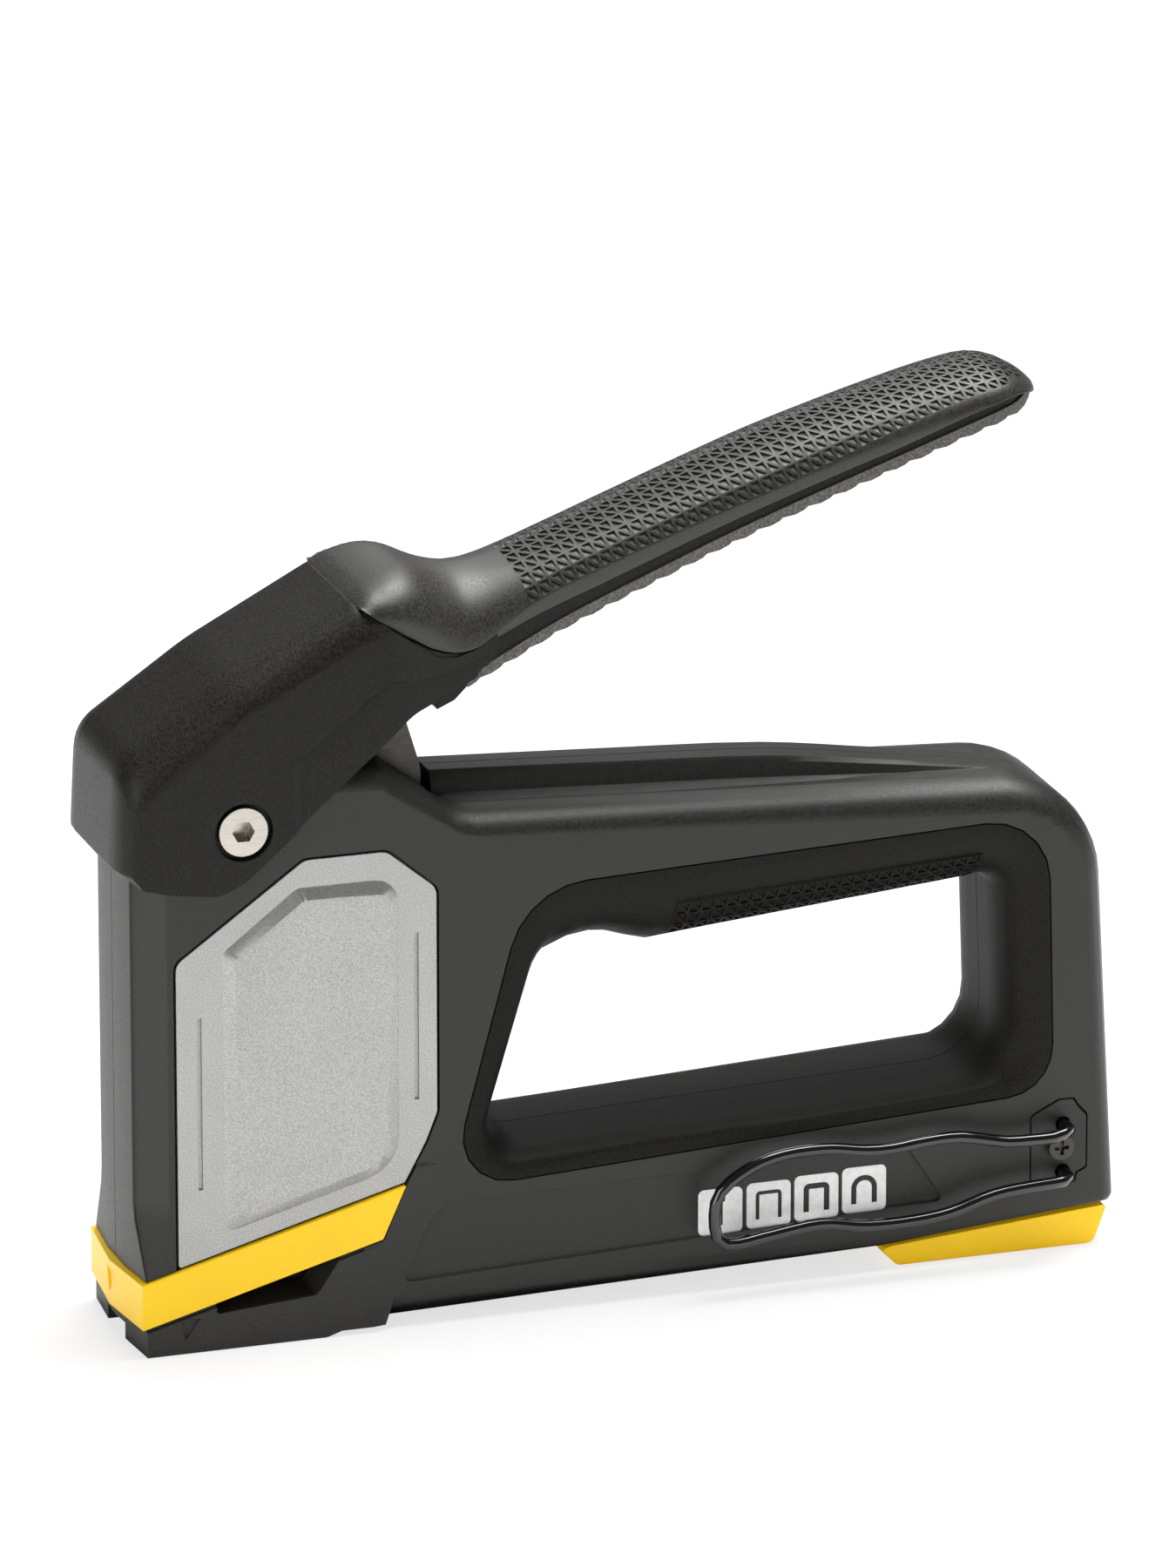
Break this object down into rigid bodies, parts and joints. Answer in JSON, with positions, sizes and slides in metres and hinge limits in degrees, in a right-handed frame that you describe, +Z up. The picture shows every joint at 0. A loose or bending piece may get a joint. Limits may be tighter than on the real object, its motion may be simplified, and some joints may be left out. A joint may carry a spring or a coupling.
{
  "type": "staple gun",
  "caption": "Hand tacker with a hooded squeeze lever, hand opening, rocker and spring-driven striker, draw-out staple magazine and a sprung wire belt hook.",
  "frame": {"origin": "on the nose's flat steel sole, on the centre plane, 20 mm behind the front of the nose", "axes": "+X along the tool to its heel, +Y to the side away from the belt hook, +Z up from the sole to the lever"},
  "size_m": [0.2115, 0.0451, 0.1857],
  "materials": {
    "casing": "fine matt grain",
    "soft": "soft-touch, matt",
    "silver": "satin silver",
    "yellow": "semi-gloss",
    "amber": "semi-gloss",
    "black_wire": "gloss black coating",
    "bright": "bright zinc plate",
    "dark_steel": "dark phosphate",
    "spring_steel": "plain spring steel",
    "rubber": "matt"
  },
  "bodies": {
    "housing": {"body_shell_left": "casing", "body_shell_right": "casing", "grip_liner_left": "soft", "grip_liner_right": "soft", "side_plate_left": "silver", "side_plate_right": "silver", "nose_band": "yellow", "shell_screw_1": "dark_steel", "shell_screw_2": "dark_steel", "shell_screw_3": "dark_steel", "shell_screw_4": "dark_steel", "shell_screw_5": "dark_steel", "shell_screw_6": "dark_steel", "pivot_bolt": "bright", "pivot_nut": "dark_steel", "pivot_bush": "spring_steel", "rocker_pin": "spring_steel", "power_spring": "spring_steel", "spring_cap": "dark_steel", "bumper": "rubber", "drive_guide": "bright", "magazine_channel": "spring_steel", "belt_hook": "black_wire", "hook_retainer": "casing", "hook_screw": "dark_steel"},
    "lever": {"lever_frame": "casing", "lever_grip": "soft", "lever_underside": "casing", "push_plate": "dark_steel"},
    "rocker": {"rocker_arm": "dark_steel"},
    "striker": {"striker_carrier": "dark_steel", "driver_blade": "bright"},
    "magazine_drawer": {"staple_rail": "spring_steel", "feed_rod": "bright", "heel_catch": "amber", "pusher_spring": "spring_steel"},
    "feeder": {"pusher": "dark_steel"}
  },
  "joints": [
    {"name": "lever_pivot", "type": "hinge", "parent": "housing", "child": "lever", "pos_m": [0.0013, 0, 0.1086], "axis": [0, 1, 0], "range_deg": [0, 20], "stiffness_Nm_per_rad": 3, "springref_deg": -20.05},
    {"name": "rocker_pivot", "type": "hinge", "parent": "housing", "child": "rocker", "pos_m": [0.012, 0, 0.092], "axis": [0, 1, 0], "range_deg": [0, 30]},
    {"name": "striker_lift", "type": "slide", "parent": "housing", "child": "striker", "axis": [0, 0, 1], "range_m": [0, 0.0127], "deforming": ["power_spring"]},
    {"name": "magazine_slide", "type": "slide", "parent": "housing", "child": "magazine_drawer", "axis": [1, 0, 0], "range_m": [0, 0.085]},
    {"name": "pusher_slide", "type": "slide", "parent": "magazine_drawer", "child": "feeder", "axis": [1, 0, 0], "range_m": [0, 0.095], "stiffness_N_per_m": 10, "springref_m": -0.12, "deforming": ["pusher_spring"]}
  ],
  "couplings": [
    {"joint": "rocker_pivot", "follows": "lever_pivot", "ratio": 1.5},
    {"joint": "striker_lift", "follows": "lever_pivot", "m_per_rad": 0.03633}
  ]
}
